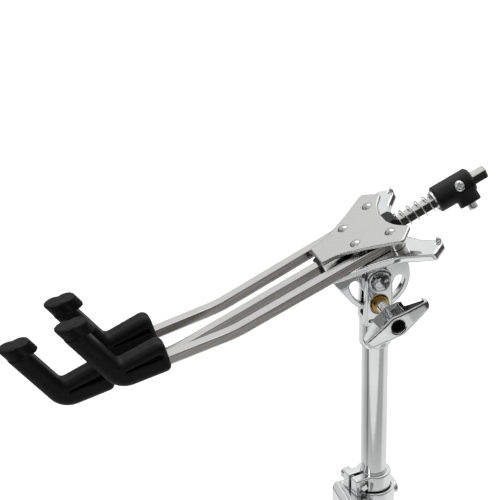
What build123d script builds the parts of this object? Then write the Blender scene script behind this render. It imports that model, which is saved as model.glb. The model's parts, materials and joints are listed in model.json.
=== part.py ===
from build123d import *
import math
import os

# Snare drum stand, folded basket, standing on the floor.
# Row frame: Z is the axis of the tubes, z = 0 is the floor, -X is the side of the folded claws,
# -Y is the front, where the wing nut is. Millimetres and degrees.

# Clearances
SLIP = 0.05          # radial clearance of a pin, tube or rod that turns or slides in its bore
GAP = 0.3            # clearance between pieces that move past each other

# Tubes and heights
MAST_D = 15.9        # upper tube, 5/8 inch
MAST_WALL = 1.2
BASE_D = 22.2        # base tube, 7/8 inch
BASE_WALL = 1.5
TILT_AXIS_Z = 450.0  # height of the basket's tilt axis
LOCK_DROP = 132.8    # tilt axis down to the top of the memory lock
MAST_LENGTH = 350.0
HEIGHT_TRAVEL = 150.0

# Basket attitude, and where its hub lies from the tilt axis, along and across the arms
BASKET_TILT = 24.4
HUB_AHEAD = 16.5
HUB_ABOVE = 33.7

# Hub plates, measured along the arms (x) and across them (y) from the arm pivots
PLATE_T = 2.1
PIVOT_Y = 18.7
TAIL_RIVET = (-19.7, 10.6)
TOP_TAIL = 42.1
LOWER_TAIL = 42.5
TAIL_HALF_W = 10.3
RIVET_R = 2.5
RIVET_HEAD_R = 3.4
RIVET_CLOSE_R = 2.8
WASHER_T = 1.3
WEB_T = 2.5
SKIRT_H = 4.8
SKIRT_WALL = 1.8
CHANNEL_FRONT = 1.7  # front end of the walls beside the guide block
PRONG_ANGLE = 52.0   # direction of an open side arm, from the rod's direction
TOE_IN = 1.0          # folded side arms lean together by this angle each
STOP_REACH = (25.4, 28.6)
STOP_TOP = 2.7       # height of the stop tab over the lower plate

# Arms, square bars
BAR = 6.7
BAR_CHAMFER = 1.7
EYE_R = 5.4
ARM_KINK_X = 105.0   # pivot to the upward bend
ARM_TIP = 169.2      # pivot to the bar's end inside the claw
CLAW_X = 144.5       # pivot to the claw's mouth
KINK = 9.7
KINK_R = 75.0
CENTRE_REACH = 33.8  # how much further out the centre claw sits
CENTRE_DROP = 1.7    # how much lower the centre bar runs

# Threaded rod end of the centre arm, guide block, spring and knob
ROD_R = 4.0
ROD_FLAT = 3.1
ROD_END = 68.7
GUIDE_W = 11.7
GUIDE_TAIL = 44.4
GUIDE_NOSE = 9.2
SPRING_WIRE = 0.95
SPRING_MEAN_R = 5.2
SPRING_PITCH = 6.0
SPRING_TRAVEL = 18.0
THRUST_WASHER_T = 1.0
KNOB_X = 34.8
KNOB_L = 24.5
KNOB_R = 8.0
KNOB_TURN = 31.0     # how far the knob is turned on its rod
BOSS_R = 6.8
BOSS_REACH = 12.2
BUTTON_R = 2.8
BUTTON_REACH = 16.0
SCREW_R = 1.4
SCREW_HEAD_R = 3.3

# Claw, in the frame of its bar: outwards along the bar, upwards across it
CLAW_HALF_W = 6.6
CLAW_FLOOR = 5.4
CLAW_CORNER = (27.0, 11.0)
CLAW_LEAN = 23.5
CLAW_NECK = 36.6      # underside of the lip
CLAW_TOP = 44.0
UPRIGHT_T = 12.3
HEEL_R = 15.0
LIP_R = (6.2, 5.8)   # outer and inner end of the lip
LIP_STEP = 6.7
LIP_PAD_R = 5.0
WEB_HALF_W = 3.4      # web under the claw's top bead
BEAD = 5.6
BEAD_R = 3.6
MOUTH_R = 4.5         # round over the claw's mouth
RIB_TOP = 15.1
SHELF_Z = 4.7
FLANGE_T = 3.3

# Tilter
QUADRANT_T = 4.5
QUADRANT_R = 20.8
QUADRANT_X = (-26.2, 20.4)   # the sector's width under the hub
SLOT_R = 14.2
SLOT_HALF_W = 3.2
SLOT_HALF_ANGLE = 78.0
TILT_BOLT_R = 3.3
CLAMP_BOLT_R = 3.0
YOKE_HALF_W = 8.2
YOKE_HALF_Y = 7.1
YOKE_GAP_R = 24.6    # reach of the gap between the cheeks, clear of the sector's shoulders
SOCKET_R = 9.6
SOCKET_Z = 43.3      # tilt axis down to the socket's rim
MAST_TOP_Z = 25.8    # tilt axis down to the mast's upper end
COUNTERBORE_R = 5.4
COUNTERBORE_DEPTH = 2.1
WING_NUT_Y = (22.9, 37.5)
WING_TURN = 30.0
WING_REACH = 22.5

# Memory lock and base clamp
LOCK_R = 10.8
LOCK_H = 10.5
LOCK_TURN = 11.5
LOCK_BOLT_X = 11.5
CLAMP_R = 13.2
CLAMP_H = 25.0
CLAMP_EAR_Y = 19.5
CLAMP_EAR_R = 7.5
CLAMP_BOLT_SHANK_R = 2.5
CLAMP_RIM = 1.2      # bushing's flange over the base tube's end
WING_SPAN = 30.0     # base clamp's and leg collar's wing screws

# Tripod
LEG_SPREAD = 60.0    # legs from vertical, standing
LEG_FOLDED = 12.0
LEG_LENGTH = 260.0
STAY_LENGTH = 120.0  # also the distance from a leg's top pivot to its stay
HINGE_R = 25.0       # pivots from the tube axis
FOOT_HEIGHT = 16.0   # leg's lower rivet over the floor
STRIP_W = 16.0
STRIP_T = 2.5
LEG_GAP = 8.0        # half the space between a leg's two strips
STAY_GAP = 5.0
LEG_AZIMUTHS = (180.0, 300.0, 60.0)
COLLAR_R = 16.5
COLLAR_H = 22.0
LEG_RIVET_R = 2.5
TUBE_BOTTOM_Z = 15.0

# Heights that follow
MAST_R = MAST_D / 2
BASE_R = BASE_D / 2
LOCK_TOP = TILT_AXIS_Z - LOCK_DROP
LOCK_BOTTOM = LOCK_TOP - LOCK_H
CLAMP_EAR_Z = CLAMP_H / 2 + 1
CLAMP_TOP = LOCK_BOTTOM - GAP
CLAMP_BOTTOM = CLAMP_TOP - CLAMP_H
BASE_TOP = CLAMP_TOP - CLAMP_RIM - 1.0
LEG_PIVOT_Z = FOOT_HEIGHT + LEG_LENGTH * math.cos(math.radians(LEG_SPREAD))
STAY_PIVOT_Z = LEG_PIVOT_Z - 2 * STAY_LENGTH * math.cos(math.radians(LEG_SPREAD))
BAR_TOP = -(PLATE_T + WASHER_T + GAP)
LOWER_TOP = BAR_TOP - BAR - GAP
LOWER_BOTTOM = LOWER_TOP - SKIRT_H
ROD_Z = BAR_TOP - CENTRE_DROP - BAR / 2
BLOCK_FLOOR = ROD_Z - BAR / 2 - 1.5

tilt_axis = Location((0, 0, TILT_AXIS_Z))
hub_frame = tilt_axis * Location((0, 0, 0), (0, -BASKET_TILT, 0)) * Location((HUB_AHEAD, 0, HUB_ABOVE))

pieces = {}


def block(x, y, z):
    """Box between the two values given for each axis."""
    size = [high - low for low, high in (x, y, z)]
    return Pos(x[0], y[0], z[0]) * Box(*size, align=(Align.MIN,) * 3)


def pin(radius, start, end):
    """Cylinder of a radius from one point to another."""
    start, end = Vector(*start), Vector(*end)
    axis = end - start
    return Plane(origin=start, z_dir=axis) * Cylinder(radius, axis.length, align=(Align.CENTER, Align.CENTER, Align.MIN))


def dome(radius, height):
    """Spherical cap standing on the XY plane."""
    ball_r = (radius ** 2 + height ** 2) / (2 * height)
    return Pos(0, 0, height - ball_r) * Sphere(ball_r) & pin(radius, (0, 0, 0), (0, 0, height))


def rivet(radius, head_r, close_r, grip):
    """Domed rivet with its head on the XY plane and a flatter closing head below the grip."""
    tail = Pos(0, 0, -grip) * Rot(180, 0, 0) * dome(close_r, 1.0)
    return dome(head_r, 1.5) + pin(radius, (0, 0, -grip), (0, 0, 0)) + tail


def both_sides(shape):
    """A shape and its mirror image across the XZ plane."""
    return shape + mirror(shape, about=Plane.XZ)


def rounded_face(corners):
    """Closed outline through corners, each given with its rounding radius."""
    face = make_face(Polyline(*[(x, y) for x, y, radius in corners], close=True))
    for x, y, radius in corners:
        if radius:
            face = fillet(face.vertices().sort_by_distance(Vector(x, y, 0))[0], radius)
    return face


def mirrored(half):
    """Corners of an outline symmetric about the X axis, from those of one half."""
    return half + [(x, -y, radius) for x, y, radius in reversed(half)]


# ---------------------------------------------------------------- hub plates
def top_outline():
    """Top plate: narrow tail, waisted side, lobe over each arm pivot, shallow notch at the nose."""
    return rounded_face(mirrored([
        (-TOP_TAIL, TAIL_HALF_W, 1.2),
        (-32.1, TAIL_HALF_W + 0.7, 25),
        (-15.0, PIVOT_Y + 2.9, 33),
        (2.0, PIVOT_Y + 15.7, 2.7),
        (11.2, PIVOT_Y + 5.0, 2.3),
        (4.7, PIVOT_Y - 4.5, 21),
        (2.5, 5.8, 6.7),
    ]))


def lower_outline():
    """Lower plate: tail, flank under each folded arm and a square-ended prong under each open arm."""
    return rounded_face(mirrored([
        (-LOWER_TAIL, TAIL_HALF_W + 1.0, 0.8),
        (-38.7, PIVOT_Y - 4.5, 3.3),
        (-20.3, PIVOT_Y + 2.4, 50),
        (-5.0, PIVOT_Y + 9.7, 25),
        (12.8, PIVOT_Y + 27.7, 2.2),
        (21.4, PIVOT_Y + 21.1, 2.6),
        (21.0, PIVOT_Y + 17.0, 4),
        (13.2, PIVOT_Y + 7.3, 20),
        (7.2, 11.7, 8),
    ]))


def hub_top_plate():
    plate = Pos(0, 0, -PLATE_T) * extrude(top_outline(), PLATE_T)
    for x, y in ((0, PIVOT_Y), TAIL_RIVET):
        plate -= both_sides(pin(RIVET_R, (x, y, -PLATE_T), (x, y, 0)))
    return fillet(plate.faces().sort_by(Axis.Z)[-1].outer_wire().edges(), 0.4)


def hub_lower_plate():
    """Skirted plate with a channel for the guide block, rivet posts and a stop tab on each prong."""
    outline = lower_outline()
    body = Pos(0, 0, LOWER_BOTTOM) * extrude(outline, SKIRT_H)
    hollow = offset(outline, -SKIRT_WALL)
    inner, outer = GUIDE_W / 2, GUIDE_W / 2 + SKIRT_WALL
    keep = block((-60, 30), (-outer, outer), (-30, 0))
    body -= Pos(0, 0, LOWER_BOTTOM) * extrude(hollow, SKIRT_H - WEB_T) - keep
    body += both_sides(block((-LOWER_TAIL, CHANNEL_FRONT), (inner, outer), (LOWER_TOP, -PLATE_T)))
    body -= block((-60, 30), (-inner, inner), (BLOCK_FLOOR, 0))
    rivet_z = LOWER_TOP - WEB_T
    x, y = TAIL_RIVET
    body += both_sides(pin(RIVET_R + 1.6, (x, y, LOWER_TOP), (x, y, -PLATE_T)))
    body -= block((-60, 30), (-inner, inner), (BLOCK_FLOOR, 0))
    for x, y in ((0, PIVOT_Y), TAIL_RIVET):
        body -= both_sides(pin(RIVET_R, (x, y, rivet_z), (x, y, -PLATE_T)))
    reach = Location((0, PIVOT_Y, LOWER_TOP), (0, 0, PRONG_ANGLE))
    side = -BAR / 2 - GAP
    stop = reach * block(STOP_REACH, (side - 2.4, side), (-1, STOP_TOP))
    stop &= Pos(0, 0, LOWER_BOTTOM) * extrude(outline, 20)
    relief = reach * block((STOP_REACH[0] + 0.4, STOP_REACH[1] - 0.4), (side, side + 1.8), (-WEB_T - 1, 1))
    return body + both_sides(stop) - both_sides(relief)


def guide_block():
    """Black block that the centre bar slides through, seated in the lower plate's channel."""
    body = block((-GUIDE_TAIL, GUIDE_NOSE), (-GUIDE_W / 2, GUIDE_W / 2), (BLOCK_FLOOR, -PLATE_T))
    top_ends = body.edges().filter_by(Axis.Y).group_by(Axis.Z)[-1].sort_by(Axis.X)
    body = chamfer(top_ends[-1], 2.1)
    tail = body.edges().filter_by(Axis.Y).group_by(Axis.Z)[-1].sort_by(Axis.X)[0]
    top = body.faces().sort_by(Axis.Z)[-1]
    body = chamfer(tail, 9.0, 3.3, reference=top)
    side = BAR / 2 + 0.2
    return body - block((-60, 30), (-side, side), (ROD_Z - side, ROD_Z + side))


def arm_washers():
    ring = pin(EYE_R, (0, PIVOT_Y, -PLATE_T - WASHER_T), (0, PIVOT_Y, -PLATE_T))
    ring -= pin(RIVET_R, (0, PIVOT_Y, -10), (0, PIVOT_Y, 0))
    return both_sides(ring)


def hub_rivets(x, y):
    grip = -(LOWER_TOP - WEB_T)
    return both_sides(Pos(x, y, 0) * rivet(RIVET_R, RIVET_HEAD_R, RIVET_CLOSE_R, grip))


# ---------------------------------------------------------------- arms and claws
def bar(length, kink_x, tip_x):
    """Bar from x = length to its tip, bent upwards at kink_x, with its centre line on the X axis."""
    rise = (tip_x - kink_x) * math.tan(math.radians(KINK))
    path = FilletPolyline((length, 0, 0), (-kink_x, 0, 0), (-tip_x, 0, rise), radius=KINK_R)
    outline = Rectangle(BAR, BAR)
    low = outline.vertices().group_by(Axis.Y)[0]
    outline = chamfer(low, BAR_CHAMFER)
    outline = fillet(outline.vertices().group_by(Axis.Y)[-1], 0.6)
    section = Plane(origin=(length, 0, 0), x_dir=(0, 1, 0), z_dir=(-1, 0, 0)) * outline
    return sweep(section, path=path)


def claw_mouth(kink_x, mouth_x):
    """Frame at a claw's mouth: X outwards along the bent bar, Z upwards across it."""
    turn = math.radians(KINK)
    run = mouth_x - kink_x
    origin = (-kink_x - run, 0, run * math.tan(turn))
    return Plane(origin=origin, x_dir=(-math.cos(turn), 0, math.sin(turn)), z_dir=(math.sin(turn), 0, math.cos(turn)))


def side_profile(corners, half_width):
    """Outline drawn in the XZ plane, extruded to both sides of it."""
    return extrude(Plane.XZ * rounded_face(corners), half_width, both=True)


def claw():
    """Rubber claw: sleeve with a recessed web each side, leaning upright and a lip of two merged rounds, in the mouth frame."""
    lean = math.radians(CLAW_LEAN)
    slope = math.tan(lean)
    corner_x, corner_z = CLAW_CORNER
    across = UPRIGHT_T / math.cos(lean)

    def inner(z):
        return corner_x + (z - corner_z) * slope

    body = side_profile([
        (0, -CLAW_FLOOR, 0), (inner(-CLAW_FLOOR) + across, -CLAW_FLOOR, HEEL_R), (inner(CLAW_NECK) + across, CLAW_NECK, 0),
        (inner(CLAW_NECK), CLAW_NECK, 0), (corner_x, corner_z, 3), (0, RIB_TOP, MOUTH_R),
    ], CLAW_HALF_W)
    long_edges = body.edges().filter_by(lambda e: abs(e.center().Y) > 1 and e.length > 9)
    outer_edges = long_edges.filter_by(lambda e: e.center().X > inner(e.center().Z) + across - 2)
    body = fillet(outer_edges, 4.5)
    for side in (-1, 1):
        pocket = rounded_face([
            (FLANGE_T, SHELF_Z, 0.8), (FLANGE_T, RIB_TOP - BEAD - 1.2, 1.6),
            (corner_x - 1, corner_z - BEAD + 0.4, 0), (corner_x - 1, SHELF_Z, 0.5),
        ])
        start = Plane.XZ.offset(side * WEB_HALF_W)
        body -= extrude(start * pocket, side * 20)
    ridge = body.edges().filter_by(lambda e: abs(e.center().Y) > CLAW_HALF_W - 0.5 and e.length > 3
                                   and e.center().X < corner_x and e.center().Z > RIB_TOP - BEAD + 1)
    body = fillet(ridge, BEAD_R)

    centre_x = inner(CLAW_NECK) + across - LIP_R[0]
    up = Vector(math.sin(lean), 0, math.cos(lean))
    rise = (CLAW_TOP - CLAW_NECK) / math.cos(lean)

    def leaning_round(radius, back, height):
        return extrude(Pos(centre_x - back, 0, CLAW_NECK) * Circle(radius), height, dir=up)

    for radius, back in zip(LIP_R, (0, LIP_STEP)):
        body += leaning_round(radius, back, rise)
    return body + leaning_round(LIP_PAD_R, 0, rise + 0.6)


def side_arm():
    """Front side arm in the hub frame, before it is placed on its pivot."""
    arm = bar(0, ARM_KINK_X, ARM_TIP) + pin(EYE_R, (0, 0, -BAR / 2), (0, 0, BAR / 2))
    return arm - pin(RIVET_R + SLIP, (0, 0, -BAR), (0, 0, BAR))


def centre_arm():
    """Centre bar whose inner half is a flatted threaded rod."""
    kink_x = ARM_KINK_X + CENTRE_REACH
    arm = bar(-GUIDE_TAIL + 3.5, kink_x, ARM_TIP + CENTRE_REACH)
    rod = pin(ROD_R, (-GUIDE_TAIL + 3.5, 0, 0), (ROD_END, 0, 0))
    rod &= block((-GUIDE_TAIL, 100), (-ROD_FLAT, ROD_FLAT), (-ROD_FLAT, ROD_FLAT))
    tip = rod.faces().sort_by(Axis.X)[-1].edges()
    return arm + chamfer(tip, 0.7)


def fitted_claw(arm, kink_x, mouth_x):
    """Claw pressed over a bar's end."""
    return claw_mouth(kink_x, mouth_x).location * claw() - arm


# ---------------------------------------------------------------- rod, spring and knob
def adjust_spring():
    """Open coil between the guide block and the thrust washer, with closed end turns."""
    start = GUIDE_NOSE + SPRING_WIRE / 2 + 0.1
    end = KNOB_X - GAP - THRUST_WASHER_T - SPRING_WIRE / 2 - 0.1
    coil = Helix(pitch=SPRING_PITCH, height=end - start, radius=SPRING_MEAN_R)
    wire = Plane(origin=coil @ 0, z_dir=coil % 0) * Circle(SPRING_WIRE / 2)
    spring = sweep(wire, path=coil, is_frenet=True)
    return Pos(start, 0, ROD_Z) * Rot(0, 90, 0) * spring


def thrust_washer():
    x = KNOB_X - GAP - THRUST_WASHER_T
    ring = pin(KNOB_R - 1.8, (x, 0, ROD_Z), (x + THRUST_WASHER_T, 0, ROD_Z))
    return ring - pin(ROD_R + 0.4, (x - 1, 0, ROD_Z), (x + 3, 0, ROD_Z))


knob_frame = Location((KNOB_X, 0, ROD_Z), (-KNOB_TURN, 0, 0))   # X along the rod, -Z down the boss
BOSS_X = KNOB_L - BOSS_R - 0.5
SCREW_X = BOSS_X - 2.0
SCREW_SEAT = 1.4 - KNOB_R


def adjust_knob():
    """Moulded knob: barrel on the rod and a cross boss that carries the release button."""
    barrel = pin(KNOB_R, (0, 0, 0), (KNOB_L, 0, 0))
    rims = barrel.edges().sort_by(Axis.X)
    barrel = chamfer(rims[-1], 1.6)
    barrel = fillet(barrel.edges().sort_by(Axis.X)[0], 1.0)
    boss = pin(BOSS_R, (BOSS_X, 0, 0), (BOSS_X, 0, -BOSS_REACH))
    boss = fillet(boss.edges().sort_by(Axis.Z)[0], 1.0)
    body = barrel + boss
    body -= pin(ROD_R + 0.4, (-1, 0, 0), (KNOB_L + 1, 0, 0))
    body -= pin(BUTTON_R + SLIP, (BOSS_X, 0, -BOSS_REACH - 1), (BOSS_X, 0, -ROD_R - 1.4))
    body -= pin(SCREW_HEAD_R, (SCREW_X, -KNOB_R - 1, 0), (SCREW_X, SCREW_SEAT, 0))
    return body - pin(SCREW_R, (SCREW_X, SCREW_SEAT - 1, 0), (SCREW_X, SCREW_SEAT + 1.8, 0))


def knob_screw():
    head = Pos(SCREW_X, SCREW_SEAT, 0) * Rot(90, 0, 0) * dome(SCREW_HEAD_R, 1.8)
    return head + pin(SCREW_R, (SCREW_X, SCREW_SEAT, 0), (SCREW_X, SCREW_SEAT + 1.8, 0))


def release_button():
    nub = pin(BUTTON_R, (BOSS_X, 0, -BUTTON_REACH), (BOSS_X, 0, -ROD_R - 4.4))
    return fillet(nub.edges().sort_by(Axis.Z)[0], 1.3)


# ---------------------------------------------------------------- tilter
def quadrant():
    """Slotted sector under the hub, about the tilt axis, in the hub's directions."""
    top = HUB_ABOVE + LOWER_BOTTOM
    left, right = QUADRANT_X
    shoulder = [Line((left, top), (right, top)), CenterArc((0, 0), QUADRANT_R, 0, 360)]
    plate = extrude(Plane.XZ * make_hull(shoulder), QUADRANT_T / 2, both=True)
    plate &= block((-50, 50), (-10, 10), (-50, top))
    first = -90 - BASKET_TILT - SLOT_HALF_ANGLE
    arc = CenterArc((0, 0), SLOT_R, first, 2 * SLOT_HALF_ANGLE)
    slot = extrude(Plane.XZ * SlotArc(arc, 2 * SLOT_HALF_W), QUADRANT_T, both=True)
    plate -= slot + pin(TILT_BOLT_R + SLIP, (0, -10, 0), (0, 10, 0))
    return Location((-HUB_AHEAD, 0, -HUB_ABOVE)) * plate


def yoke():
    """Forked head on the mast: two cheeks, counterbored for the bolts, over a round socket."""
    foot_z = MAST_TOP_Z + 1.7
    cheek = make_hull([CenterArc((0, 0), YOKE_HALF_W, 0, 360), Line((0.5 - SOCKET_R, -foot_z), (SOCKET_R - 0.5, -foot_z))])
    body = extrude(Plane.XZ * cheek, YOKE_HALF_Y, both=True)
    body = fillet(body.edges().filter_by(lambda e: abs(e.center().Z) < foot_z - 1), 1.0)
    body += pin(SOCKET_R, (0, 0, -SOCKET_Z), (0, 0, 2.5 - foot_z))
    body += pin(3.8, (SOCKET_R - 1.0, 2.5, -SOCKET_Z + 1.7), (SOCKET_R - 1.0, 2.5, -foot_z - 1.5))
    half_slot = QUADRANT_T / 2 + GAP
    body -= pin(YOKE_GAP_R, (0, -half_slot, 0), (0, half_slot, 0))
    body -= pin(MAST_R, (0, 0, -SOCKET_Z - 1), (0, 0, -MAST_TOP_Z))
    low_z = -SLOT_R
    for y in (-1, 1):
        face, depth = y * YOKE_HALF_Y, y * (YOKE_HALF_Y - COUNTERBORE_DEPTH)
        body -= pin(COUNTERBORE_R, (0, depth, 0), (0, face * 1.2, 0))
        body -= pin(COUNTERBORE_R, (0, depth, low_z), (0, face * 1.2, low_z))
    body -= pin(TILT_BOLT_R, (0, -10, 0), (0, 10, 0)) + pin(CLAMP_BOLT_R, (0, -10, low_z), (0, 10, low_z))
    return body


def hex_nut(across, thickness, bore):
    nut = extrude(RegularPolygon(across / 2, 6, major_radius=False), thickness)
    cone = Pos(0, 0, thickness / 2) * Cylinder(across / 2 * 1.12, thickness)
    return (nut & cone) - pin(bore, (0, 0, -1), (0, 0, thickness + 1))


def pivot_bolt():
    floor = YOKE_HALF_Y - COUNTERBORE_DEPTH
    shank = pin(TILT_BOLT_R, (0, -floor - 3.4, 0), (0, floor, 0))
    head = Pos(0, floor, 0) * Rot(-90, 0, 0) * Cylinder(4.7, 2.8, align=(Align.CENTER, Align.CENTER, Align.MIN))
    return shank + fillet(head.edges().sort_by(Axis.Y)[-1], 1.0)


def pivot_nut():
    floor = YOKE_HALF_Y - COUNTERBORE_DEPTH
    return Pos(0, -floor, 0) * Rot(90, 0, 0) * hex_nut(8.9, 3.8, TILT_BOLT_R)


def brass_bushing():
    floor = YOKE_HALF_Y - COUNTERBORE_DEPTH
    z = -SLOT_R
    ring = pin(COUNTERBORE_R - 0.25, (0, -floor, z), (0, -floor - 3.5, z)) + pin(4.2, (0, -floor, z), (0, -floor - 5.8, z))
    return ring - pin(CLAMP_BOLT_R, (0, -floor - 8, z), (0, 0, z))


def clamp_bolt():
    floor = YOKE_HALF_Y - COUNTERBORE_DEPTH
    z = -SLOT_R
    near, far = WING_NUT_Y
    shank = pin(CLAMP_BOLT_R, (0, -far + 6.3, z), (0, floor, z))
    head = block((-3.7, 3.7), (floor, floor + 3.3), (z - 3.7, z + 3.7))
    head = fillet(head.edges().sort_by(Axis.Y)[-4:], 0.8)
    return shank + head


def wing_nut():
    """Cast wing nut: round hub with a blind front bore and two scooped wings."""
    near, far = WING_NUT_Y
    hub = pin(7.0, (0, 0, near), (0, 0, far))
    hub = fillet(hub.edges(), 0.8)
    tip = WING_REACH - 3.0
    outline = make_hull([CenterArc((x, 0), radius, 0, 360) for x, radius in ((0, 6.7), (tip, 3.0), (-tip, 3.0))])
    corner = (WING_REACH - 3.4, far - 4.2)
    shape = make_hull([
        Line((-7.5, near), (7.5, near)), Line((-8.3, far), (8.3, far)),
        CenterArc(corner, 3.4, 0, 360), CenterArc((-corner[0], corner[1]), 3.4, 0, 360),
    ])
    wings = Pos(0, 0, near) * extrude(outline, far - near) & extrude(Plane.XZ * shape, 10, both=True)
    for turn in (0, 180):
        scoop = block((7.9, WING_REACH - 2.4), (0.8, 10), (near + 1.7, far - 1.8))
        wings -= Rot(0, 0, turn) * fillet(scoop.edges().filter_by(Axis.Y), 1.5)
    nut = wings + hub
    nut -= pin(CLAMP_BOLT_R + SLIP, (0, 0, near - 1), (0, 0, far)) + pin(4.3, (0, 0, far - 5.8), (0, 0, far + 1))
    return Pos(0, 0, -SLOT_R) * Rot(90, 0, 0) * Rot(0, 0, WING_TURN) * nut


# ---------------------------------------------------------------- mast, memory lock and base clamp
def tube(radius, wall, low, high):
    return pin(radius, (0, 0, low), (0, 0, high)) - pin(radius - wall, (0, 0, low - 1), (0, 0, high + 1))


def lock_frame():
    return Location((0, 0, LOCK_BOTTOM), (0, 0, 180 + LOCK_TURN))


def memory_lock():
    """Split collar with two ears, the front one recessed for the key bolt's head."""
    middle = LOCK_H / 2
    body = pin(LOCK_R, (0, 0, 0), (0, 0, LOCK_H)) + block((5, 17.1), (-7.7, 7.9), (0, LOCK_H))
    body = fillet(body.edges().filter_by(Axis.Z).group_by(Axis.X)[-1], 1.2)
    body += pin(3.7, (12.9, -12.2, middle + 0.5), (12.9, -7.5, middle + 0.5))
    body = chamfer(body.faces().sort_by(Axis.Z)[-1].edges(), 0.5)
    body -= pin(MAST_R, (0, 0, -1), (0, 0, LOCK_H + 1)) + block((0, 30), (-1.3, 1.3), (-1, LOCK_H + 1))
    body -= block((LOCK_BOLT_X - 3.0, LOCK_BOLT_X + 3.0), (4.7, 10), (-1, LOCK_H - 1.7))
    z = middle - 0.8
    return body - pin(2.2, (LOCK_BOLT_X, -17, z), (LOCK_BOLT_X, 10, z))


def memory_lock_bolt():
    x, z = LOCK_BOLT_X, LOCK_H / 2 - 0.8
    bolt = pin(2.2, (x, -7.5, z), (x, 4.7, z)) + pin(2.9, (x, 4.7, z), (x, 5.7, z))
    head = Pos(x, 7.0, z) * Rot(0, 20, 0) * Box(3.7, 2.8, 3.7)
    return bolt + head


def base_clamp():
    """Collar on the base tube's end: a side lug under the memory lock and closing ears at the rear."""
    body = pin(CLAMP_R, (0, 0, 0), (0, 0, CLAMP_H))
    lug = block((-24.2, -6.7), (-20, 10), (0, CLAMP_H))
    lug = chamfer(lug.edges().filter_by(Axis.Y).sort_by(lambda e: e.center().X - e.center().Z)[0], 3.3)
    lug = fillet(lug.edges().filter_by(Axis.Z).group_by(Axis.X)[0], 2.5)
    lug -= block((-19.7, -18.8), (-25, 17), (CLAMP_H - 1.0, CLAMP_H + 1))
    body += lug
    y, z, radius = CLAMP_EAR_Y, CLAMP_EAR_Z, CLAMP_EAR_R
    body += block((-7, 7), (8, y), (z - radius, z + radius)) + pin(radius, (-7, y, z), (7, y, z))
    body -= pin(BASE_R, (0, 0, -1), (0, 0, CLAMP_H + 1)) + block((-1, 1), (0, 40), (-1, CLAMP_H + 1))
    body -= pin(CLAMP_BOLT_SHANK_R + SLIP, (-20, y, z), (20, y, z))
    return Pos(0, 0, CLAMP_BOTTOM) * body


def clamp_wing_bolt():
    y, z = CLAMP_EAR_Y, CLAMP_BOTTOM + CLAMP_EAR_Z
    bolt = pin(CLAMP_BOLT_SHANK_R, (-7 - GAP, y, z), (9, y, z)) + pin(5, (7 + GAP, y, z), (17, y, z))
    bolt += pin(4.5, (-7 - GAP - 3, y, z), (-7 - GAP, y, z))
    grip = extrude(Plane.YZ * SlotOverall(WING_SPAN, 8), 5)
    return bolt + Pos(14, y, z) * fillet(grip.edges(), 1.2)


def clamp_bushing():
    """Nylon sleeve between the two tubes, with a flange on the base tube's end."""
    bore = MAST_R + SLIP
    sleeve = pin(BASE_R - BASE_WALL - SLIP, (0, 0, CLAMP_BOTTOM - 8), (0, 0, CLAMP_TOP - 0.4))
    sleeve += pin(BASE_R - GAP, (0, 0, BASE_TOP + GAP), (0, 0, CLAMP_TOP - 0.4))
    return sleeve - pin(bore, (0, 0, 0), (0, 0, CLAMP_TOP + 5))


# ---------------------------------------------------------------- tripod
def collar(lug_half, pivot_z):
    """Round casting on the base tube with a lug for each leg or stay."""
    body = pin(COLLAR_R, (0, 0, pivot_z - COLLAR_H / 2), (0, 0, pivot_z + COLLAR_H / 2))
    body = fillet(body.edges(), 1.5)
    for azimuth in LEG_AZIMUTHS:
        lug = block((10, HINGE_R), (-lug_half, lug_half), (pivot_z - 8, pivot_z + 8))
        lug += pin(8, (HINGE_R, -lug_half, pivot_z), (HINGE_R, lug_half, pivot_z))
        lug -= pin(LEG_RIVET_R + SLIP, (HINGE_R, -20, pivot_z), (HINGE_R, 20, pivot_z))
        body += Rot(0, 0, azimuth) * lug
    return body


def strip_pair(start, end, inner, holes):
    """Two flat strips side by side from one pivot to another, in the XZ plane, with rivet holes."""
    start, end = Vector(start[0], 0, start[1]), Vector(end[0], 0, end[1])
    along = end - start
    frame = Plane(origin=start, x_dir=along, z_dir=(0, -1, 0))
    outline = Pos(along.length / 2, 0) * SlotCenterToCenter(along.length, STRIP_W)
    for distance in holes:
        outline -= Pos(distance, 0) * Circle(LEG_RIVET_R)
    strip = extrude(outline, STRIP_T)
    pair = Pos(0, 0, inner) * strip + Pos(0, 0, -inner - STRIP_T) * strip
    return frame * pair


def cross_rivet(x, z, half):
    """Rivet along Y with a low dome on each end."""
    body = pin(LEG_RIVET_R, (x, -half, z), (x, half, z))
    body += Pos(x, -half, z) * Rot(90, 0, 0) * dome(4.4, 1.6)
    return body + Pos(x, half, z) * Rot(-90, 0, 0) * dome(4.4, 1.6)


leg_sin, leg_cos = math.sin(math.radians(LEG_SPREAD)), math.cos(math.radians(LEG_SPREAD))
leg_top = (HINGE_R, LEG_PIVOT_Z)
leg_joint = (HINGE_R + STAY_LENGTH * leg_sin, LEG_PIVOT_Z - STAY_LENGTH * leg_cos)
leg_foot = (HINGE_R + LEG_LENGTH * leg_sin, FOOT_HEIGHT)
stay_foot = (HINGE_R, STAY_PIVOT_Z)


def leg():
    """Pair of strips from the sliding collar to the foot, with short rivets at the stay's pivot."""
    return strip_pair(leg_top, leg_foot, LEG_GAP, (0, STAY_LENGTH, LEG_LENGTH))


def leg_rivets():
    outer = LEG_GAP + STRIP_T
    long_ones = [cross_rivet(*leg_top, outer), cross_rivet(*leg_foot, outer)]
    stub = cross_rivet(*leg_joint, outer)
    stub -= block((0, 400), (-LEG_GAP, LEG_GAP), (-50, 400))
    return long_ones[0] + long_ones[1] + stub


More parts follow.
